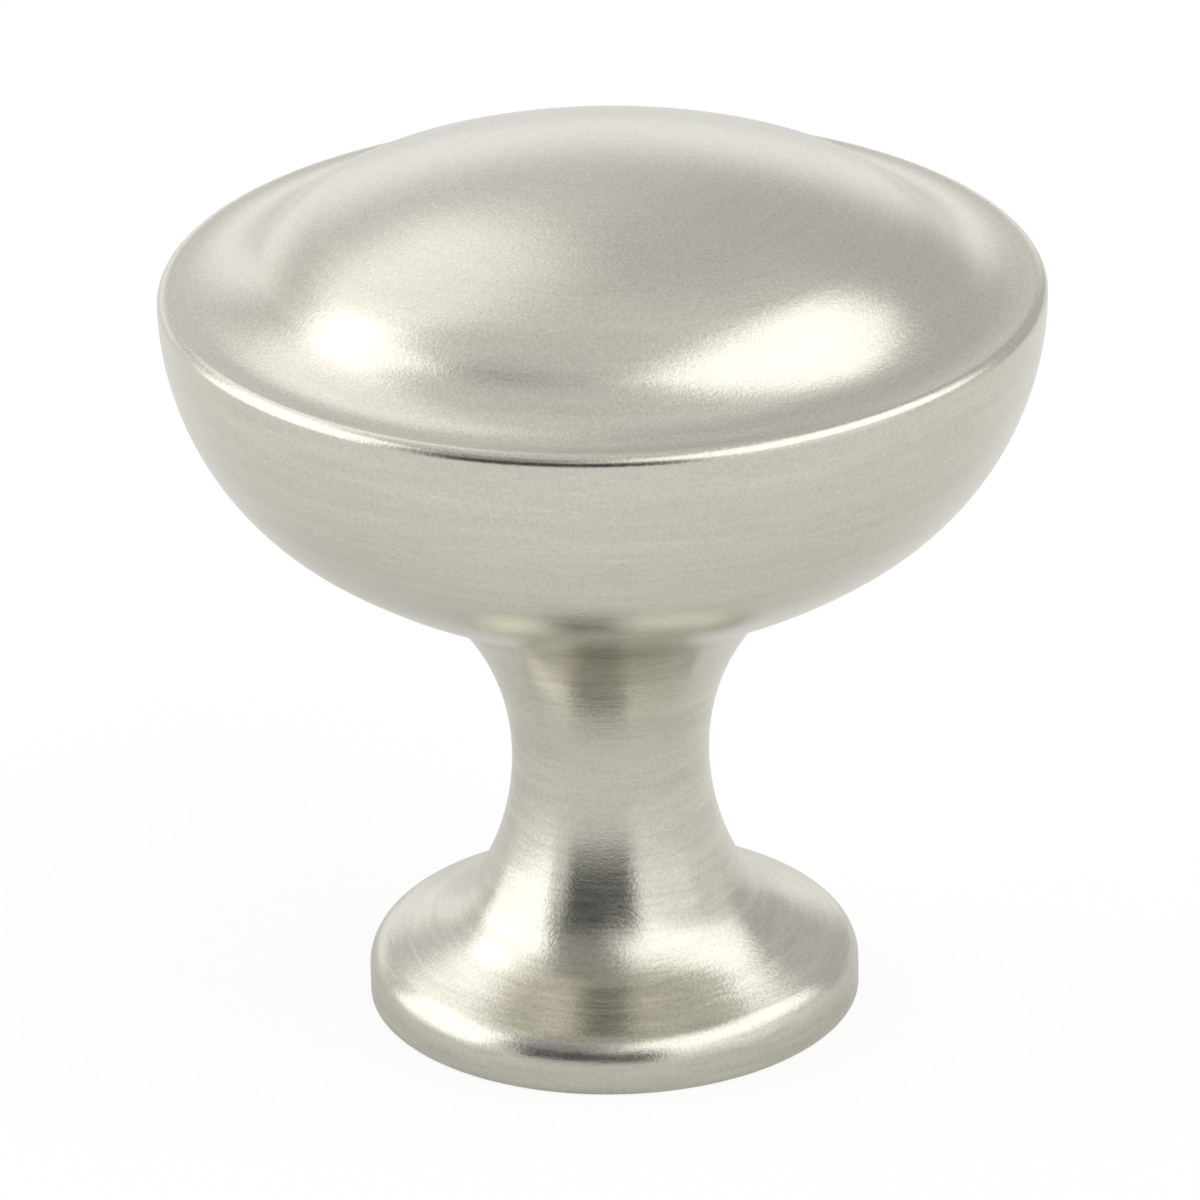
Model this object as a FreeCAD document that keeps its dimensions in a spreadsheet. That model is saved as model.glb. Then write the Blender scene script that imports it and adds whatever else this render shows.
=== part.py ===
# Cabinet knob, one solid casting: a domed head on a waisted stem that flares into a round foot.
# Millimetres, +Z up the axis, origin at the centre of the face that seats on the door or drawer.
import FreeCAD, Part
import math
import os
import Sketcher

# Every driving size: its name, its value and what it measures.
SIZES = [
    ("rim_diameter", 30.0, "across the lip, the widest part of the head"),
    ("lip_level", 26.15, "height of the lip's centre above the seat"),
    ("lip_radius", 0.4, "rounding of the thin lip round the head"),
    ("crown_rise", 4.65, "top of the crown above the lip's centre"),
    ("crown_radius", 26.5, "sphere of the crown"),
    ("edge_band_width", 5.3, "from the end of the crown's sphere out to the rim"),
    ("shoulder_radius", 5.5, "rounding where the crown turns down to the cove"),
    ("cove_radius", 4.1, "hollow between the shoulder and the lip"),
    ("side_radius", 9.9, "upper side of the bowl, just under the lip"),
    ("side_angle", 53.0, "degrees that the bowl's upper side turns through"),
    ("belly_angle", 14.0, "degrees that the flatter belly of the bowl turns through"),
    ("under_fillet_radius", 0.85, "small fillet between the belly and the stem"),
    ("neck_diameter", 6.8, "thinnest part of the stem"),
    ("neck_level", 9.0, "height of the thinnest part above the seat"),
    ("neck_upper_angle", 49.5, "degrees that the stem turns through above its neck"),
    ("neck_lower_angle", 28.0, "degrees that the stem turns through just below its neck"),
    ("flare_angle", 34.0, "degrees that the tighter flare above the foot turns through"),
    ("foot_slope_radius", 20.0, "foot's sloping top, nearly straight, outside the flare"),
    ("foot_slope_angle", 5.0, "degrees that the foot's sloping top turns through"),
    ("foot_diameter", 17.0, "across the foot"),
    ("foot_wall_height", 0.95, "straight wall at the foot's bottom edge"),
    ("foot_edge_radius", 1.1, "rounding of the foot's upper edge"),
    ("seat_ring_width", 1.6, "flat ring that bears on the wood"),
    ("recess_depth", 0.8, "hollow cast into the foot's underside"),
    ("recess_corner_radius", 0.3, "fillets at the bottom of the hollow"),
    ("boss_diameter", 8.0, "boss round the screw hole"),
    ("boss_setback", 0.2, "boss face back from the seat, so that the ring bears first"),
    ("bore_diameter", 3.45, "tapping size for a number 8 screw with 32 threads to the inch"),
    ("bore_depth", 13.0, "full-width depth of the screw hole from the boss face"),
    ("drill_point_angle", 118.0, "degrees across the cone at the hole's end"),
    ("bore_mouth_diameter", 4.6, "countersink at the mouth of the hole"),
    ("bore_mouth_angle", 90.0, "degrees across the countersink"),
]

# How a sketch names the points of a line or arc, its two axes and the point where they cross.
FIRST_END, SECOND_END, CENTRE = range(1, 4)
ACROSS_AXIS, UPRIGHT_AXIS = range(-1, -3, -1)
ROOT_POINT = (ACROSS_AXIS, FIRST_END)


def make_sheet(doc):
    """Writes the sizes into a spreadsheet, one row each."""
    sheet = doc.addObject("Spreadsheet::Sheet", "sizes")
    for row, (name, value, meaning) in enumerate(SIZES, start=1):
        sheet.set(f"A{row}", meaning)
        sheet.set(f"B{row}", str(value))
        sheet.setAlias(f"B{row}", name)
    doc.recompute()


def new_sketch(body, name, plane):
    """Starts a sketch on one of the body's own origin planes."""
    sketch = body.newObject("Sketcher::SketchObject", name)
    support = next(item for item in body.Origin.OriginFeatures if item.Role == plane)
    sketch.AttachmentSupport = [(support, "")]
    sketch.MapMode = "FlatFace"
    return sketch


def dimension(sketch, kind, formula, *where):
    """Adds a sized constraint that follows a formula on the size sheet."""
    value = sketch.evalExpression(formula)
    if kind == "Angle":
        value = value.getValueAs("rad").Value
    index = sketch.addConstraint(Sketcher.Constraint(kind, *where, value))
    sketch.setExpression(f"Constraints[{index}]", formula)


def place_end(sketch, across, up, item, end):
    """Holds one end of a line or arc at a distance from the axis and a height above the seat."""
    dimension(sketch, "DistanceX", across, *ROOT_POINT, item, end)
    dimension(sketch, "DistanceY", up, *ROOT_POINT, item, end)


def direction(degrees):
    """Returns the unit vector at an angle from the sketch's across axis."""
    angle = math.radians(degrees)
    return FreeCAD.Vector(math.cos(angle), math.sin(angle), 0)


def angle_of(vector):
    """Returns a vector's angle from the sketch's across axis, from 0 to 360 degrees."""
    return math.degrees(math.atan2(vector.y, vector.x)) % 360


def draw_arc(sketch, centre, radius, first, last):
    """Adds the arc about a centre that runs from one direction to another, in degrees.

    Returns its index and which of its ends comes first and last on the way round the section.
    """
    low, high = sorted((first, last))
    circle = Part.Circle(centre, FreeCAD.Vector(0, 0, 1), radius)
    index = sketch.addGeometry(Part.ArcOfCircle(circle, math.radians(low), math.radians(high)))
    ends = (FIRST_END, SECOND_END) if first < last else (SECOND_END, FIRST_END)
    return index, *ends


def touching_centre(centre_a, distance_a, centre_b, distance_b):
    """Returns the upper of the two points at a given distance from each of two centres."""
    apart = centre_b - centre_a
    along = (distance_a**2 - distance_b**2 + apart.Length**2) / (2 * apart.Length)
    aside = math.sqrt(distance_a**2 - along**2)
    apart.normalize()
    return centre_a + apart * along + FreeCAD.Vector(-apart.y, apart.x, 0) * aside


def two_radii(turn_a, turn_b, across, up):
    """Solves the radii of two arcs that together cover a width and a height.

    A turn is a pair of slopes in degrees off the upright. An arc covers its radius times the
    change in the slope's cosine across, and its radius times the change in its sine up, which
    makes two linear equations in the two radii.
    """
    across_a, across_b = (
        math.cos(math.radians(low)) - math.cos(math.radians(high)) for low, high in (turn_a, turn_b))
    up_a, up_b = (
        math.sin(math.radians(high)) - math.sin(math.radians(low)) for low, high in (turn_a, turn_b))
    determinant = across_a * up_b - across_b * up_a
    return (across * up_b - across_b * up) / determinant, (across_a * up - across * up_a) / determinant


def head_arcs(size):
    """Lays out the crown, shoulder, cove and lip, each tangent to the next."""
    rim_radius = size["rim_diameter"] / 2
    face_radius = rim_radius - size["edge_band_width"]
    crown_top = size["lip_level"] + size["crown_rise"]
    crown_centre = FreeCAD.Vector(0, crown_top - size["crown_radius"], 0)
    face_angle = math.degrees(math.acos(face_radius / size["crown_radius"]))
    inset = size["crown_radius"] - size["shoulder_radius"]
    shoulder_centre = crown_centre + direction(face_angle) * inset
    lip_centre = FreeCAD.Vector(rim_radius - size["lip_radius"], size["lip_level"], 0)
    cove_centre = touching_centre(
        shoulder_centre, size["shoulder_radius"] + size["cove_radius"],
        lip_centre, size["lip_radius"] + size["cove_radius"])
    to_shoulder = angle_of(shoulder_centre - cove_centre)
    to_lip = angle_of(lip_centre - cove_centre)
    return {
        "crown": (crown_centre, size["crown_radius"], 90, face_angle),
        "shoulder": (shoulder_centre, size["shoulder_radius"], face_angle, to_shoulder - 180),
        "cove": (cove_centre, size["cove_radius"], to_shoulder, to_lip),
        "lip": (lip_centre, size["lip_radius"], to_lip - 180, 0),
    }


def bowl_arcs(size):
    """Lays out the bowl under the lip, its fillet and the stem's curve down to the neck.

    The fillet takes up what the bowl turns through beyond the stem's curve.
    """
    side_turn = size["side_angle"]
    bowl_turn = side_turn + size["belly_angle"]
    stem_turn = size["neck_upper_angle"]
    fillet_radius = size["under_fillet_radius"]
    side_centre = FreeCAD.Vector(size["rim_diameter"] / 2 - size["side_radius"], size["lip_level"], 0)
    side_end = side_centre + direction(-side_turn) * size["side_radius"]
    neck = FreeCAD.Vector(size["neck_diameter"] / 2, size["neck_level"], 0)
    fillet_span = (direction(-stem_turn) - direction(-bowl_turn)) * fillet_radius
    left_over = side_end - neck - fillet_span
    belly_radius, stem_radius = two_radii(
        (side_turn, bowl_turn), (0, stem_turn), left_over.x, left_over.y)
    belly_centre = side_end - direction(-side_turn) * belly_radius
    fillet_centre = belly_centre + direction(-bowl_turn) * (belly_radius + fillet_radius)
    stem_centre = neck + direction(0) * stem_radius
    return {
        "side": (side_centre, size["side_radius"], 0, -side_turn),
        "belly": (belly_centre, belly_radius, -side_turn, -bowl_turn),
        "under_fillet": (fillet_centre, fillet_radius, 180 - bowl_turn, 180 - stem_turn),
        "neck_upper": (stem_centre, stem_radius, 180 - stem_turn, 180),
    }


def foot_arcs(size):
    """Lays out the stem's curve below the neck, its flare, the foot's sloping top and its rounded edge."""
    neck_turn = size["neck_lower_angle"]
    flare_turn = neck_turn + size["flare_angle"]
    foot_turn = flare_turn + size["foot_slope_angle"]
    edge_radius = size["foot_edge_radius"]
    slope_radius = size["foot_slope_radius"]
    edge_centre = FreeCAD.Vector(size["foot_diameter"] / 2 - edge_radius, size["foot_wall_height"], 0)
    neck = FreeCAD.Vector(size["neck_diameter"] / 2, size["neck_level"], 0)
    slope_centre = edge_centre + direction(foot_turn) * (edge_radius + slope_radius)
    flare_end = slope_centre - direction(flare_turn) * slope_radius
    lower_radius, flare_radius = two_radii(
        (0, neck_turn), (neck_turn, flare_turn), flare_end.x - neck.x, neck.y - flare_end.y)
    lower_centre = neck + direction(0) * lower_radius
    flare_centre = flare_end + direction(flare_turn) * flare_radius
    return {
        "neck_lower": (lower_centre, lower_radius, 180, 180 + neck_turn),
        "flare": (flare_centre, flare_radius, 180 + neck_turn, 180 + flare_turn),
        "foot_slope": (slope_centre, slope_radius, 180 + flare_turn, 180 + foot_turn),
        "foot_edge": (edge_centre, edge_radius, foot_turn, 0),
    }


def make_section(body, size):
    """Draws half of the knob's section: tangent arcs from the crown to the foot, closed by lines."""
    sketch = new_sketch(body, "half_section", "XZ_Plane")
    layout = {**head_arcs(size), **bowl_arcs(size), **foot_arcs(size)}
    arcs = {name: draw_arc(sketch, *shape) for name, shape in layout.items()}

    origin = FreeCAD.Vector(0, 0, 0)
    crown_top = FreeCAD.Vector(0, size["lip_level"] + size["crown_rise"], 0)
    wall_bottom = FreeCAD.Vector(size["foot_diameter"] / 2, 0, 0)
    wall_top = wall_bottom + FreeCAD.Vector(0, size["foot_wall_height"], 0)
    middle = sketch.addGeometry(Part.LineSegment(origin, crown_top))
    wall = sketch.addGeometry(Part.LineSegment(wall_top, wall_bottom))
    base = sketch.addGeometry(Part.LineSegment(wall_bottom, origin))

    chain = list(arcs.values())
    for (item, _, last), (following, first, _) in zip(chain, chain[1:]):
        sketch.addConstraint(Sketcher.Constraint("Tangent", item, last, following, first))
    for name in ("crown", "shoulder", "cove", "lip", "side", "under_fillet", "foot_slope", "foot_edge"):
        dimension(sketch, "Radius", f"sizes.{name}_radius", arcs[name][0])
    for name in ("side", "belly", "neck_upper", "neck_lower", "flare", "foot_slope"):
        dimension(sketch, "Angle", f"sizes.{name}_angle * 1 deg", arcs[name][0])

    crown, crown_start, crown_end = arcs["crown"]
    sketch.addConstraint(Sketcher.Constraint("Coincident", middle, FIRST_END, *ROOT_POINT))
    sketch.addConstraint(Sketcher.Constraint("Vertical", middle))
    sketch.addConstraint(Sketcher.Constraint("Coincident", middle, SECOND_END, crown, crown_start))
    sketch.addConstraint(Sketcher.Constraint("PointOnObject", crown, CENTRE, UPRIGHT_AXIS))
    dimension(sketch, "DistanceY", "sizes.lip_level + sizes.crown_rise", *ROOT_POINT, middle, SECOND_END)
    dimension(
        sketch, "DistanceX", "sizes.rim_diameter / 2 - sizes.edge_band_width",
        *ROOT_POINT, crown, crown_end)

    lip, _, lip_end = arcs["lip"]
    sketch.addConstraint(Sketcher.Constraint("Horizontal", lip, CENTRE, lip, lip_end))
    place_end(sketch, "sizes.rim_diameter / 2", "sizes.lip_level", lip, lip_end)
    stem, _, neck_end = arcs["neck_upper"]
    sketch.addConstraint(Sketcher.Constraint("Horizontal", stem, CENTRE, stem, neck_end))
    place_end(sketch, "sizes.neck_diameter / 2", "sizes.neck_level", stem, neck_end)

    edge, _, edge_end = arcs["foot_edge"]
    sketch.addConstraint(Sketcher.Constraint("Tangent", edge, edge_end, wall, FIRST_END))
    sketch.addConstraint(Sketcher.Constraint("Vertical", wall))
    sketch.addConstraint(Sketcher.Constraint("PointOnObject", wall, SECOND_END, ACROSS_AXIS))
    place_end(sketch, "sizes.foot_diameter / 2", "sizes.foot_wall_height", wall, FIRST_END)
    sketch.addConstraint(Sketcher.Constraint("Coincident", wall, SECOND_END, base, FIRST_END))
    sketch.addConstraint(Sketcher.Constraint("Coincident", base, SECOND_END, *ROOT_POINT))
    return sketch


def make_recess_section(body, size):
    """Draws half of what is hollowed out of the foot: a deep ring round a boss that stands back."""
    sketch = new_sketch(body, "recess_section", "XZ_Plane")
    ring_inside = size["foot_diameter"] / 2 - size["seat_ring_width"]
    boss_radius = size["boss_diameter"] / 2
    corners = [
        FreeCAD.Vector(across, up, 0) for across, up in (
            (0, 0), (ring_inside, 0), (ring_inside, size["recess_depth"]),
            (boss_radius, size["recess_depth"]), (boss_radius, size["boss_setback"]),
            (0, size["boss_setback"]))]
    sides = [
        sketch.addGeometry(Part.LineSegment(start, end))
        for start, end in zip(corners, corners[1:] + corners[:1])]
    for side, following in zip(sides, sides[1:] + sides[:1]):
        sketch.addConstraint(Sketcher.Constraint("Coincident", side, SECOND_END, following, FIRST_END))
    for turn, side in enumerate(sides):
        sketch.addConstraint(Sketcher.Constraint("Vertical" if turn % 2 else "Horizontal", side))
    seat, _, ceiling, _, boss_face, _ = sides
    sketch.addConstraint(Sketcher.Constraint("Coincident", seat, FIRST_END, *ROOT_POINT))
    dimension(
        sketch, "DistanceX", "sizes.foot_diameter / 2 - sizes.seat_ring_width",
        *ROOT_POINT, seat, SECOND_END)
    place_end(sketch, "sizes.boss_diameter / 2", "sizes.recess_depth", ceiling, SECOND_END)
    dimension(sketch, "DistanceY", "sizes.boss_setback", *ROOT_POINT, boss_face, SECOND_END)
    return sketch


def turn_about_axis(body, kind, name, sketch):
    """Revolves a half section round the knob's axis, to add it or to cut it away."""
    feature = body.newObject(kind, name)
    feature.Profile = sketch
    feature.ReferenceAxis = (sketch, ["V_Axis"])
    feature.Angle = 360
    return feature


def level_edges(shape, level):
    """Returns the names of the shape's round edges that lie at one height."""
    return [
        f"Edge{number}" for number, edge in enumerate(shape.Edges, start=1)
        if abs(edge.BoundBox.ZMin - level) < 1e-6 and abs(edge.BoundBox.ZMax - level) < 1e-6]


def make_screw_hole(body):
    """Drills the blind tapping hole up the stem from the boss face and countersinks its mouth."""
    sketch = new_sketch(body, "hole_place", "XY_Plane")
    sketch.setExpression(".AttachmentOffset.Base.z", "sizes.boss_setback")
    circle = Part.Circle(FreeCAD.Vector(0, 0, 0), FreeCAD.Vector(0, 0, 1), 1)
    mark = sketch.addGeometry(circle)
    sketch.addConstraint(Sketcher.Constraint("Coincident", mark, CENTRE, *ROOT_POINT))
    dimension(sketch, "Radius", "sizes.bore_diameter / 2", mark)
    body.Document.recompute()

    hole = body.newObject("PartDesign::Hole", "screw_hole")
    hole.Profile = sketch
    hole.Reversed = True
    hole.DepthType = "Dimension"
    hole.DrillPoint = "Angled"
    hole.HoleCutType = "Countersink"
    hole.setExpression("Diameter", "sizes.bore_diameter")
    hole.setExpression("Depth", "sizes.bore_depth")
    hole.setExpression("DrillPointAngle", "sizes.drill_point_angle * 1 deg")
    hole.setExpression("HoleCutDiameter", "sizes.bore_mouth_diameter")
    hole.setExpression("HoleCutCountersinkAngle", "sizes.bore_mouth_angle * 1 deg")
    return hole


def make_knob(doc, size):
    """Builds the knob: the turned form, the hollow under its foot and the hole for its screw."""
    body = doc.addObject("PartDesign::Body", "knob")
    body.Label = "knob"
    turned_form = turn_about_axis(body, "PartDesign::Revolution", "turned_form", make_section(body, size))
    doc.recompute()
    recess = turn_about_axis(body, "PartDesign::Groove", "foot_recess", make_recess_section(body, size))
    doc.recompute()
    corners = body.newObject("PartDesign::Fillet", "recess_corners")
    corners.Base = (recess, level_edges(recess.Shape, size["recess_depth"]))
    corners.setExpression("Radius", "sizes.recess_corner_radius")
    doc.recompute()
    hole = make_screw_hole(body)
    doc.recompute()
    require(recess.Shape.Volume < turned_form.Shape.Volume, "the recess cut nothing")
    require(hole.Shape.Volume < corners.Shape.Volume, "the screw hole cut nothing")
    body.Placement = FreeCAD.Placement()
    return body


def require(condition, fault):
    """Stops the build with a plain message."""
    if not condition:
        raise RuntimeError(fault)


def check(doc, parts):
    """Stops the build if an object failed or a part isn't one valid solid."""
    for item in doc.Objects:
        failed = {"Invalid", "Error"} & set(item.State)
        require(not failed, f"{item.Name} failed: {item.State}")
        if item.isDerivedFrom("Sketcher::SketchObject"):
            require(item.FullyConstrained, f"{item.Name} is not fully constrained")
    for part in parts:
        shape = part.Shape
        require(not shape.isNull() and shape.isValid(), f"{part.Label} has no valid shape")
        require(len(shape.Solids) == 1, f"{part.Label} is not one solid")


doc = FreeCAD.newDocument("cabinet_knob")
make_sheet(doc)
size = {name: value for name, value, _ in SIZES}
parts = [make_knob(doc, size)]
doc.recompute()
check(doc, parts)
os.makedirs("parts", exist_ok=True)
for part in parts:
    part.Shape.exportStep(f"parts/{part.Label}.step")
    box = part.Shape.optimalBoundingBox()
    lengths = " x ".join(f"{length:.2f}" for length in (box.XLength, box.YLength, box.ZLength))
    print(f"{part.Label}: {part.Shape.Volume:.1f} cubic mm, {lengths} mm")
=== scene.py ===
# Cabinet knob in satin nickel: a domed head on a waisted stem and a round foot, standing on its foot.
import math

import bpy
import numpy as np
from mathutils import Matrix, Vector


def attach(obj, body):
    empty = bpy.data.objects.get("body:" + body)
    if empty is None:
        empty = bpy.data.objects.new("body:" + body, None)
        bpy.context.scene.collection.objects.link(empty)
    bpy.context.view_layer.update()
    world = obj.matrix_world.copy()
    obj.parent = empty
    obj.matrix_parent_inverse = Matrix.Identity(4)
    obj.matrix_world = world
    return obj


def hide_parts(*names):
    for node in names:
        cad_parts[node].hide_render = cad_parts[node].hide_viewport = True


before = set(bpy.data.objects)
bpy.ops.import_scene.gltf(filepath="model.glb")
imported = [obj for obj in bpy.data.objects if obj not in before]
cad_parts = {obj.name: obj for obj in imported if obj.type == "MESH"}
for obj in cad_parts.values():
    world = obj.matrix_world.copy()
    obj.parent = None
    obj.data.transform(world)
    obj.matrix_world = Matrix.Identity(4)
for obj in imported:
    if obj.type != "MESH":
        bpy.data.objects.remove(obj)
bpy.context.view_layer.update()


# The knob is one zinc casting, turned outside to a smooth outline and hollowed underneath round a boss. A
# blind hole for a number 8-32 screw is drilled and tapped up the stem. The outline here runs from the middle
# of the crown, down over the lip, bowl, stem and foot, and up into the hole.
MM = 0.001
RIM_RADIUS = 14.996
LIP_LEVEL = 26.15
LIP_RADIUS = 0.4
CROWN_TOP = 30.8
CROWN_RADIUS = 26.5
FACE_RADIUS = 9.7
SHOULDER_RADIUS = 5.5
COVE_RADIUS = 4.1
SIDE_RADIUS = 9.9
SIDE_TURN = 53
BELLY_TURN = 14
UNDER_FILLET_RADIUS = 0.85
NECK_RADIUS = 3.4
NECK_LEVEL = 9.0
NECK_UPPER_TURN = 49.5
NECK_LOWER_TURN = 28
FLARE_TURN = 34
FOOT_SLOPE_RADIUS = 20.0
FOOT_SLOPE_TURN = 5
FOOT_RADIUS = 8.5
FOOT_WALL = 0.95
FOOT_EDGE_RADIUS = 1.1
RECESS_RADIUS = 6.9
RECESS_DEPTH = 0.8
RECESS_FILLET = 0.3
BOSS_RADIUS = 4.0
BOSS_SETBACK = 0.2
BROKEN_EDGE = 0.07
HOLE_MOUTH_RADIUS = 2.3
HOLE_RADIUS = 1.725
HOLE_BOTTOM = 13.2
HOLE_POINT_ANGLE = 118
THREAD_PITCH = 0.79375
THREAD_OUTER_RADIUS = 2.083
THREAD_ROOT_SHARE = 0.125
THREAD_FLANK_ANGLE = 30
THREAD_ROWS_PER_TURN = 12
AROUND = 192


def heading(degrees):
    """The unit vector (cos a, sin a) at an angle a from the outward direction."""
    return np.array([math.cos(math.radians(degrees)), math.sin(math.radians(degrees))])


def arc(centre, radius, first, last, step):
    """Points on centre + radius * (cos a, sin a), with a from first to last in even steps of degrees."""
    count = max(2, round(abs(last - first) / step))
    angles = np.radians(np.linspace(first, last, count + 1))
    return np.asarray(centre) + radius * np.column_stack([np.cos(angles), np.sin(angles)])


def run(start, end, spacing):
    """Points on start + t * (end - start), with t from 0 to 1."""
    count = max(1, round(float(np.hypot(*np.subtract(end, start))) / spacing))
    share = np.linspace(0, 1, count + 1)[:, None]
    return np.asarray(start) * (1 - share) + np.asarray(end) * share


def cove_centre(centre_a, distance_a, centre_b, distance_b):
    """The upper crossing of the circles of radii distance_a and distance_b about centre_a and centre_b."""
    apart = centre_b - centre_a
    gap = np.hypot(*apart)
    along = (distance_a**2 - distance_b**2 + gap**2) / (2 * gap)
    aside = math.sqrt(distance_a**2 - along**2)
    unit = apart / gap
    return centre_a + unit * along + np.array([-unit[1], unit[0]]) * aside


def bearing(vector):
    """The angle of a vector from the outward direction, from 0 to 360 degrees."""
    return math.degrees(math.atan2(vector[1], vector[0])) % 360


def two_radii(first_turn, second_turn, across, up):
    """The radii of two arcs that together cover a width and a height, from two linear equations.

    An arc between two slopes covers its radius times the change in the slope's cosine across,
    and its radius times the change in its sine up.
    """
    turns = np.radians([first_turn, second_turn])
    starts, ends = turns.T
    covered = np.array([np.cos(starts) - np.cos(ends), np.sin(ends) - np.sin(starts)])
    return np.linalg.solve(covered, [across, up])


def head_outline():
    """Crown, shoulder, cove and lip: four arcs, each tangent to the next."""
    crown_centre = np.array([0, CROWN_TOP - CROWN_RADIUS])
    face_angle = math.degrees(math.acos(FACE_RADIUS / CROWN_RADIUS))
    shoulder_centre = crown_centre + heading(face_angle) * (CROWN_RADIUS - SHOULDER_RADIUS)
    lip_centre = np.array([RIM_RADIUS - LIP_RADIUS, LIP_LEVEL])
    hollow = cove_centre(
        shoulder_centre, SHOULDER_RADIUS + COVE_RADIUS, lip_centre, LIP_RADIUS + COVE_RADIUS)
    to_shoulder = bearing(shoulder_centre - hollow)
    to_lip = bearing(lip_centre - hollow)
    return [
        arc(crown_centre, CROWN_RADIUS, 90, face_angle, 1.2),
        arc(shoulder_centre, SHOULDER_RADIUS, face_angle, to_shoulder - 180, 1.8),
        arc(hollow, COVE_RADIUS, to_shoulder, to_lip, 3),
        arc(lip_centre, LIP_RADIUS, to_lip - 180, 0, 7)]


def bowl_outline():
    """Side, belly, the small fillet under it and the stem down to its neck: four tangent arcs."""
    bowl_turn = SIDE_TURN + BELLY_TURN
    side_centre = np.array([RIM_RADIUS - SIDE_RADIUS, LIP_LEVEL])
    side_end = side_centre + heading(-SIDE_TURN) * SIDE_RADIUS
    neck = np.array([NECK_RADIUS, NECK_LEVEL])
    fillet_span = (heading(-NECK_UPPER_TURN) - heading(-bowl_turn)) * UNDER_FILLET_RADIUS
    belly_radius, stem_radius = two_radii(
        (SIDE_TURN, bowl_turn), (0, NECK_UPPER_TURN), *(side_end - neck - fillet_span))
    belly_centre = side_end - heading(-SIDE_TURN) * belly_radius
    fillet_centre = belly_centre + heading(-bowl_turn) * (belly_radius + UNDER_FILLET_RADIUS)
    stem_centre = neck + heading(0) * stem_radius
    return [
        arc(side_centre, SIDE_RADIUS, 0, -SIDE_TURN, 1.6),
        arc(belly_centre, belly_radius, -SIDE_TURN, -bowl_turn, 1),
        arc(fillet_centre, UNDER_FILLET_RADIUS, 180 - bowl_turn, 180 - NECK_UPPER_TURN, 3),
        arc(stem_centre, stem_radius, 180 - NECK_UPPER_TURN, 180, 1.6)]


def foot_outline():
    """The stem below its neck, the flare, and the foot's slope, edge, wall and broken bottom edge."""
    flare_turn = NECK_LOWER_TURN + FLARE_TURN
    foot_turn = flare_turn + FOOT_SLOPE_TURN
    edge_centre = np.array([FOOT_RADIUS - FOOT_EDGE_RADIUS, FOOT_WALL])
    neck = np.array([NECK_RADIUS, NECK_LEVEL])
    slope_centre = edge_centre + heading(foot_turn) * (FOOT_EDGE_RADIUS + FOOT_SLOPE_RADIUS)
    flare_end = slope_centre - heading(flare_turn) * FOOT_SLOPE_RADIUS
    lower_radius, flare_radius = two_radii(
        (0, NECK_LOWER_TURN), (NECK_LOWER_TURN, flare_turn), flare_end[0] - neck[0], neck[1] - flare_end[1])
    return [
        arc(neck + heading(0) * lower_radius, lower_radius, 180, 180 + NECK_LOWER_TURN, 1.6),
        arc(flare_end + heading(flare_turn) * flare_radius, flare_radius,
            180 + NECK_LOWER_TURN, 180 + flare_turn, 1.8),
        arc(slope_centre, FOOT_SLOPE_RADIUS, 180 + flare_turn, 180 + foot_turn, 1),
        arc(edge_centre, FOOT_EDGE_RADIUS, foot_turn, 0, 4),
        run((FOOT_RADIUS, FOOT_WALL), (FOOT_RADIUS, BROKEN_EDGE), 0.26),
        arc((FOOT_RADIUS - BROKEN_EDGE, BROKEN_EDGE), BROKEN_EDGE, 0, -90, 30)]


def underside_outline():
    """The seat ring, the hollow with its fillets, the boss and its countersunk mouth."""
    inner_seat = RECESS_RADIUS + BROKEN_EDGE
    boss_edge = BOSS_RADIUS - BROKEN_EDGE
    ceiling = RECESS_DEPTH - RECESS_FILLET
    return [
        run((FOOT_RADIUS - BROKEN_EDGE, 0), (inner_seat, 0), 0.4),
        arc((inner_seat, BROKEN_EDGE), BROKEN_EDGE, 270, 180, 30),
        run((RECESS_RADIUS, BROKEN_EDGE), (RECESS_RADIUS, ceiling), 0.2),
        arc((RECESS_RADIUS - RECESS_FILLET, ceiling), RECESS_FILLET, 0, 90, 15),
        run((RECESS_RADIUS - RECESS_FILLET, RECESS_DEPTH), (BOSS_RADIUS + RECESS_FILLET, RECESS_DEPTH), 0.6),
        arc((BOSS_RADIUS + RECESS_FILLET, ceiling), RECESS_FILLET, 90, 180, 15),
        run((BOSS_RADIUS, ceiling), (BOSS_RADIUS, BOSS_SETBACK + BROKEN_EDGE), 0.15),
        arc((boss_edge, BOSS_SETBACK + BROKEN_EDGE), BROKEN_EDGE, 0, -90, 30),
        run((boss_edge, BOSS_SETBACK), (HOLE_MOUTH_RADIUS, BOSS_SETBACK), 0.4)]


def hole_outline():
    """The countersink, the bore's wall in rows fine enough for its thread, and the drill's cone."""
    mouth_depth = HOLE_MOUTH_RADIUS - HOLE_RADIUS
    wall_top = BOSS_SETBACK + mouth_depth
    cone_height = HOLE_RADIUS / math.tan(math.radians(HOLE_POINT_ANGLE / 2))
    row = THREAD_PITCH / THREAD_ROWS_PER_TURN
    return [
        run((HOLE_MOUTH_RADIUS, BOSS_SETBACK), (HOLE_RADIUS, wall_top), row * math.sqrt(2)),
        run((HOLE_RADIUS, wall_top), (HOLE_RADIUS, HOLE_BOTTOM), row),
        run((HOLE_RADIUS, HOLE_BOTTOM), (0, HOLE_BOTTOM + cone_height), 0.4)]


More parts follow.
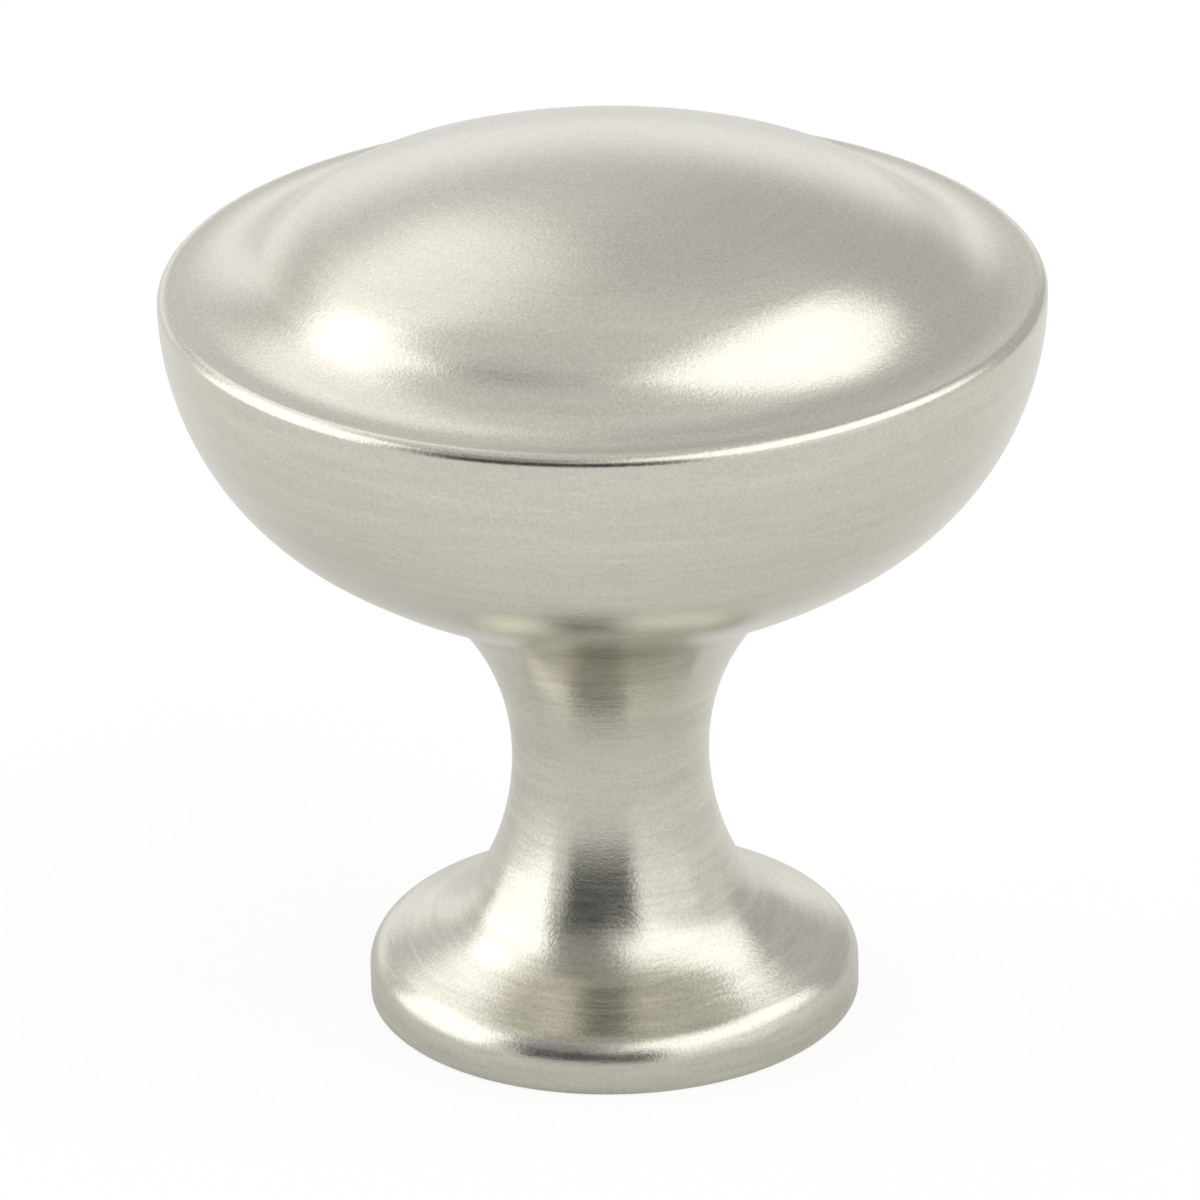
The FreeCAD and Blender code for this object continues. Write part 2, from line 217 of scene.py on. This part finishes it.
def thread_radius(level, turn):
    """How far out the screw's groove reaches at a height and a share of a turn.

    The groove climbs one pitch per turn. Its root is flat over an eighth of the pitch, and its flanks
    lean back at 30 degrees, so that the reach falls by the distance past the root over tan 30.
    The groove fades out over its last turn, below the drill's cone.
    """
    phase = (level / THREAD_PITCH - turn) % 1
    from_root = np.abs(phase - 0.5) * THREAD_PITCH
    past_root = np.maximum(from_root - THREAD_ROOT_SHARE * THREAD_PITCH / 2, 0)
    reach = THREAD_OUTER_RADIUS - past_root / math.tan(math.radians(THREAD_FLANK_ANGLE))
    fade = np.clip((HOLE_BOTTOM - level) / THREAD_PITCH, 0, 1)
    return HOLE_RADIUS + (reach - HOLE_RADIUS) * fade


outer_pieces = head_outline() + bowl_outline() + foot_outline()
under_pieces = underside_outline()
hole_pieces = hole_outline()
all_pieces = outer_pieces + under_pieces + hole_pieces
outline = np.vstack([piece[:-1] for piece in all_pieces] + [hole_pieces[-1][-1:]])
outer_count = sum(len(piece) - 1 for piece in outer_pieces)
hole_start = outer_count + sum(len(piece) - 1 for piece in under_pieces)
travelled = np.concatenate([[0], np.cumsum(np.hypot(*np.diff(outline, axis=0).T))])


def knob_surface(rows, turn):
    """The skin at a row of the outline and a share of a turn: (r cos 2 pi t, r sin 2 pi t, z).

    r and z are the outline's, and inside the screw hole r is the thread's reach where that is farther out.
    """
    radius = np.repeat(outline[rows, 0][:, None], len(turn), axis=1)
    level = np.repeat(outline[rows, 1][:, None], len(turn), axis=1)
    tapped = (rows[:, None] >= hole_start) & (level < HOLE_BOTTOM)
    radius = np.where(tapped, np.maximum(radius, thread_radius(level, turn[None, :])), radius)
    angle = 2 * np.pi * turn[None, :]
    return np.stack([radius * np.cos(angle), radius * np.sin(angle), level], axis=-1)


def closed_shell(name, grid, top, bottom):
    """A mesh from a grid of points whose columns close round an axis, with triangles to each pole."""
    rows, columns = grid.shape[:2]
    points = np.vstack([grid.reshape(-1, 3), top, bottom])
    index = np.arange(rows * columns).reshape(rows, columns)
    right = np.roll(index, -1, axis=1)
    quads = np.stack([index[:-1], index[1:], right[1:], right[:-1]], axis=-1).reshape(-1, 4)
    top_pole, bottom_pole = rows * columns, rows * columns + 1
    top_fan = np.column_stack([np.full(columns, top_pole), index[0], right[0]])
    bottom_fan = np.column_stack([np.full(columns, bottom_pole), right[-1], index[-1]])
    mesh = bpy.data.meshes.new(name)
    mesh.from_pydata(points.tolist(), [], quads.tolist() + top_fan.tolist() + bottom_fan.tolist())
    mesh.polygons.foreach_set("use_smooth", np.ones(len(mesh.polygons), bool))
    mesh.update()
    return mesh


ring_rows = np.arange(1, len(outline) - 1)
turns = np.arange(AROUND) / AROUND
poles = [(0, 0, outline[0, 1] * MM), (0, 0, outline[-1, 1] * MM)]
knob_mesh = closed_shell("knob_skin", knob_surface(ring_rows, turns) * MM, *poles)
path_length = knob_mesh.attributes.new("along_outline", "FLOAT", "POINT")
lengths = np.concatenate([np.repeat(travelled[ring_rows], AROUND), travelled[[0, -1]]])
path_length.data.foreach_set("value", lengths.astype(np.float32))
knob = bpy.data.objects.new("knob_skin", knob_mesh)
bpy.context.scene.collection.objects.link(knob)


class Level:
    """A socket's value in shader maths: each operator adds one Math node."""

    def __init__(self, finish, socket):
        self.finish = finish
        self.socket = socket

    def __add__(self, other):
        return self.finish.math("ADD", self, other)

    __radd__ = __add__

    def __sub__(self, other):
        return self.finish.math("SUBTRACT", self, other)

    def __rsub__(self, other):
        return self.finish.math("SUBTRACT", other, self)

    def __mul__(self, other):
        return self.finish.math("MULTIPLY", self, other)

    __rmul__ = __mul__

    def __abs__(self):
        return self.finish.math("ABSOLUTE", self)


class Finish:
    """A node tree being mixed. node() adds any node, sets it up and feeds it, and returns its outputs."""

    def __init__(self, tree):
        self.tree = tree
        tree.nodes.clear()

    def node(self, kind, settings, feeds):
        made = self.tree.nodes.new(kind)
        for key, value in settings.items():
            setattr(made, key, value)
        for key, value in feeds.items():
            if isinstance(value, Level):
                self.tree.links.new(value.socket, made.inputs[key])
            else:
                made.inputs[key].default_value = value
        return [Level(self, socket) for socket in made.outputs]

    def math(self, operation, *values):
        """One Math node on levels or numbers."""
        return self.node("ShaderNodeMath", {"operation": operation}, dict(enumerate(values)))[0]


def new_finish(name):
    """A material with an empty node tree, and the Finish that fills it."""
    material = bpy.data.materials.new(name)
    material.use_nodes = True
    return material, Finish(material.node_tree)


# The knob's finish is satin nickel plate, brushed round its axis to hair-fine strokes and a soft grain. The
# stem and foot are brushed harder than the head. The hollow underneath keeps its duller cast skin, and the
# hole, tapped after plating, shows bare grey zinc.
NICKEL_COLOUR = (0.635, 0.617, 0.542, 1)
CAST_COLOUR = (0.50, 0.485, 0.45, 1)
ZINC_COLOUR = (0.40, 0.40, 0.39, 1)
NICKEL_ROUGHNESS = 0.23
CAST_ROUGHNESS = 0.42
HEAD_BRUSHING = 0.25
STEM_BRUSHING = 0.80
ACROSS_THE_STROKES = 0.25
BOWL_BLEND = 0.5
STEM_BLEND = 1.2
STEM_LEAD = 0.4
HOLLOW_BLEND = 0.1
HOLE_BLEND = 0.05
CROWN_STROKES = 0.4
BOWL_STROKES = 0.4
STEM_STROKES = 0.5
HAIR_SHADE = 0.20
BROAD_SHADE = 0.24
GRAIN_SHADE = 0.45
HAIR_ROUGHNESS = 0.10
GRAIN_ROUGHNESS = 0.05
HAIR_RELIEF = 0.5
GRAIN_RELIEF = 1.2
GRAIN_SCALE = 9000.0
RELIEF_STRENGTH = 0.3
RELIEF_DEPTH = 0.00002

satin, mix = new_finish("satin_nickel")
place = mix.node("ShaderNodeTexCoord", {}, {})[3]
along = mix.node("ShaderNodeAttribute", {"attribute_name": "along_outline"}, {})[2]
x, y = mix.node("ShaderNodeSeparateXYZ", {}, {0: place})[:2]


def rise_past(start, width):
    """A share that rises smoothly from 0 to 1 along the outline, over a width in millimetres from start."""
    return mix.node(
        "ShaderNodeMapRange", {"interpolation_type": "SMOOTHSTEP"},
        {0: along, 1: start, 2: start + width})[0]


def stretched_noise(round_scale, along_scale, detail, seed):
    """Noise that is long round the axis and short along the outline. Scales are per millimetre."""
    spread = round_scale / MM
    vector = mix.node(
        "ShaderNodeCombineXYZ", {}, {0: x * spread + seed, 1: y * spread, 2: along * along_scale})[0]
    return mix.node(
        "ShaderNodeTexNoise", {"noise_dimensions": "3D"},
        {"Vector": vector, "Scale": 1.0, "Detail": detail, "Roughness": 0.6})[0]


def blend(share, first, second):
    """The first colour where the share is 0, the second where it is 1."""
    return mix.node("ShaderNodeMix", {"data_type": "RGBA"}, {0: share, 6: first, 7: second})[2]


rim_end = travelled[sum(len(piece) - 1 for piece in outer_pieces[:4])]
stem_start = travelled[sum(len(piece) - 1 for piece in outer_pieces[:6])]
hollow_start = travelled[outer_count + len(under_pieces[0]) - 1]
on_bowl = rise_past(rim_end, BOWL_BLEND)
on_stem = rise_past(stem_start - STEM_LEAD, STEM_BLEND)
in_hollow = rise_past(hollow_start, HOLLOW_BLEND)
in_hole = rise_past(travelled[hole_start], HOLE_BLEND)

hair_strokes = stretched_noise(round_scale=0.6, along_scale=7.0, detail=3.0, seed=0.0)
broad_strokes = stretched_noise(round_scale=0.16, along_scale=2.2, detail=2.0, seed=17.0)
grain = mix.node(
    "ShaderNodeTexNoise", {"noise_dimensions": "3D"},
    {"Vector": place, "Scale": GRAIN_SCALE, "Detail": 2.0, "Roughness": 0.7})[0]

stroke_depth = CROWN_STROKES + on_bowl * BOWL_STROKES + on_stem * STEM_STROKES
stroke_light = (
    ((hair_strokes - 0.5) * HAIR_SHADE + (broad_strokes - 0.5) * BROAD_SHADE) * stroke_depth
    + (grain - 0.5) * GRAIN_SHADE)
tint = blend(in_hole, blend(in_hollow, NICKEL_COLOUR, CAST_COLOUR), ZINC_COLOUR)
shade = mix.node("ShaderNodeCombineColor", {}, dict.fromkeys(range(3), stroke_light + 1))[0]
colour = mix.node(
    "ShaderNodeMix", {"data_type": "RGBA", "blend_type": "MULTIPLY"}, {0: 1.0, 6: tint, 7: shade})[2]
roughness = (
    NICKEL_ROUGHNESS + (hair_strokes - 0.5) * stroke_depth * HAIR_ROUGHNESS + (grain - 0.5) * GRAIN_ROUGHNESS
    + in_hollow * (CAST_ROUGHNESS - NICKEL_ROUGHNESS))
height = hair_strokes * stroke_depth * HAIR_RELIEF + grain * GRAIN_RELIEF
relief = mix.node(
    "ShaderNodeBump", {}, {"Strength": RELIEF_STRENGTH, "Distance": RELIEF_DEPTH, "Height": height})[0]
skins = [
    mix.node(
        "ShaderNodeBsdfPrincipled", {},
        {"Base Color": colour, "Metallic": 1.0, "Roughness": roughness, "Anisotropic": brushing,
         "Anisotropic Rotation": ACROSS_THE_STROKES, "Normal": relief})[0]
    for brushing in (HEAD_BRUSHING, STEM_BRUSHING)]
skin = mix.node("ShaderNodeMixShader", {}, {0: on_stem, 1: skins[0], 2: skins[1]})[0]
mix.node("ShaderNodeOutputMaterial", {}, {"Surface": skin})
knob_mesh.materials.append(satin)

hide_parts("knob")
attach(knob, "root")


# The floor is a round sheet of pale paper that the knob stands on. The camera sees it mostly as plain white
# with a faint shadow. It is open under the foot and clear from below, so that the underside can be seen.
FLOOR_COLOUR = (0.84, 0.84, 0.83, 1)
FLOOR_RADIUS = 2.5
FLOOR_OPENING = (FOOT_RADIUS - 2 * BROKEN_EDGE) * MM
FLOOR_GAP = 0.00002
FLOOR_SHOWN_WHITE = 0.82
FLOOR_GLOW = 1.04


def floor_ring(radius):
    """Points on the floor at a radius r and a share t of a turn: (r cos 2 pi t, r sin 2 pi t)."""
    angle = 2 * np.pi * turns
    return np.column_stack([radius * np.cos(angle), radius * np.sin(angle), np.full(AROUND, -FLOOR_GAP)])


inner = np.arange(AROUND)
outer = inner + AROUND
floor_faces = np.column_stack([inner, outer, np.roll(outer, -1), np.roll(inner, -1)])
floor_mesh = bpy.data.meshes.new("floor")
floor_mesh.from_pydata(
    np.vstack([floor_ring(FLOOR_OPENING), floor_ring(FLOOR_RADIUS)]).tolist(), [], floor_faces.tolist())
floor = bpy.data.objects.new("floor", floor_mesh)
bpy.context.scene.collection.objects.link(floor)
paper, mix = new_finish("white_sheet")
seen = mix.node("ShaderNodeLightPath", {}, {})[0]
behind = mix.node("ShaderNodeNewGeometry", {}, {})[6]
sheet = mix.node("ShaderNodeBsdfDiffuse", {}, {"Color": FLOOR_COLOUR})[0]
white = mix.node("ShaderNodeEmission", {}, {"Strength": FLOOR_GLOW})[0]
clear = mix.node("ShaderNodeBsdfTransparent", {}, {})[0]
shown = mix.node("ShaderNodeMixShader", {}, {0: seen * FLOOR_SHOWN_WHITE, 1: sheet, 2: white})[0]
shown = mix.node("ShaderNodeMixShader", {}, {0: seen * behind, 1: shown, 2: clear})[0]
mix.node("ShaderNodeOutputMaterial", {}, {"Surface": shown})
floor_mesh.materials.append(paper)


# The room is a pale studio, painted on the world by direction: a white screen low behind the table, greyer
# walls and ceiling, and a dark side where the camera stands. Each field has an azimuth (0 is away from the
# camera, 90 to its right), an elevation, a width and a height in degrees, and a level.
ROOM_LEVEL = 0.83
WHITE = (1, 1, 1, 1)
SOFT_EDGE = 0.2
FIELDS = {
    "back wall": (4, 18, 96, 40, 0.73),
    "grey right wall": (38, 22, 54, 45, 0.60),
    "back screen": (-12, 2, 64, 32, 1.14),
    "ceiling": (178, 76, 54, 58, 0.74),
    "beam behind": (-6, 52, 42, 16, 0.60),
    "high dark side": (-143, 43, 40, 45, 0.40),
    "dark side": (-167, 9, 62, 50, 0.04)}

world = bpy.data.worlds.new("room")
world.use_nodes = True
bpy.context.scene.world = world
mix = Finish(world.node_tree)
direction = mix.node("ShaderNodeTexCoord", {}, {})[0]


def outward_direction(azimuth, elevation):
    """The unit vector from the knob at an azimuth and an elevation in degrees."""
    turn, rise = math.radians(azimuth), math.radians(elevation)
    return Vector((math.sin(turn) * math.cos(rise), math.cos(turn) * math.cos(rise), math.sin(rise)))


def toward(vector):
    """How far the direction looked in points along a vector."""
    return mix.node("ShaderNodeVectorMath", {"operation": "DOT_PRODUCT"}, {0: direction, 1: vector})[1]


light = ROOM_LEVEL
for azimuth, elevation, wide, tall, level in FIELDS.values():
    outward = outward_direction(azimuth, elevation)
    rightward = outward_direction(azimuth + 90, 0)
    across = abs(toward(rightward / math.tan(math.radians(wide / 2))))
    up = abs(toward(rightward.cross(outward) / math.tan(math.radians(tall / 2))))
    inside = toward(outward) - mix.math("MAXIMUM", across, up)
    share = mix.node(
        "ShaderNodeMapRange", {"interpolation_type": "SMOOTHSTEP"},
        {0: inside, 1: -SOFT_EDGE, 2: SOFT_EDGE})[0]
    light = mix.node("ShaderNodeMix", {}, {0: share, 2: light, 3: level})[0]

# The camera itself sees the room as plain white.
seen = mix.node("ShaderNodeLightPath", {}, {})[0]
room = mix.node("ShaderNodeBackground", {}, {"Color": WHITE, "Strength": light + (1 - light) * seen})[0]
mix.node("ShaderNodeOutputWorld", {}, {"Surface": room})


# Four large soft panels stand on the left and the right of the table and light it evenly. Such a lamp looks
# as bright as a surface of level 1 when it gives 4 watts per square metre.
LAMP_DISTANCE = 0.8
LAMP_AIM = Vector((0, 0, 0.02))
LEVEL_WATTS = 4


def soft_panel(name, azimuth, elevation, wide, tall, level):
    """A lamp that looks wide by tall degrees from the knob and adds an even level to the room's."""
    outward = outward_direction(azimuth, elevation)
    width, height = (2 * LAMP_DISTANCE * math.tan(math.radians(side / 2)) for side in (wide, tall))
    lamp = bpy.data.lights.new(name, "AREA")
    lamp.shape = "RECTANGLE"
    lamp.size = width
    lamp.size_y = height
    lamp.energy = LEVEL_WATTS * level * width * height
    panel = bpy.data.objects.new(name, lamp)
    panel.matrix_world = (
        Matrix.Translation(LAMP_AIM + outward * LAMP_DISTANCE)
        @ outward.to_track_quat("Z", "Y").to_matrix().to_4x4())
    panel.visible_camera = False
    bpy.context.scene.collection.objects.link(panel)


soft_panel("left_panel", -90, 16, 56, 74, 0.78)
soft_panel("high_left_panel", -38, 47, 42, 26, 0.50)
soft_panel("right_panel", 107, 52, 78, 43, 0.75)
soft_panel("low_right_panel", 128, 4, 51, 40, 0.16)


# The camera stands a little above the knob and in front of it, with a long lens, and looks down at the angle
# that the photograph was taken from.
LENS = 270.2
SENSOR_WIDTH = 36
CLIP_START = 0.01
CAMERA_PLACE = (0, -0.27989, 0.14340)
CAMERA_PITCH = 24.704
CAMERA_YAW = 0.055
CAMERA_ROLL = -1.067

camera = bpy.data.objects.new("camera", bpy.data.cameras.new("camera"))
camera.data.lens = LENS
camera.data.sensor_width = SENSOR_WIDTH
camera.data.clip_start = CLIP_START
camera.matrix_world = (
    Matrix.Translation(CAMERA_PLACE) @ Matrix.Rotation(math.radians(CAMERA_YAW), 4, "Z")
    @ Matrix.Rotation(math.radians(90 - CAMERA_PITCH), 4, "X")
    @ Matrix.Rotation(math.radians(CAMERA_ROLL), 4, "Z"))
bpy.context.scene.collection.objects.link(camera)
bpy.context.scene.camera = camera
bpy.context.scene.view_settings.view_transform = "Standard"
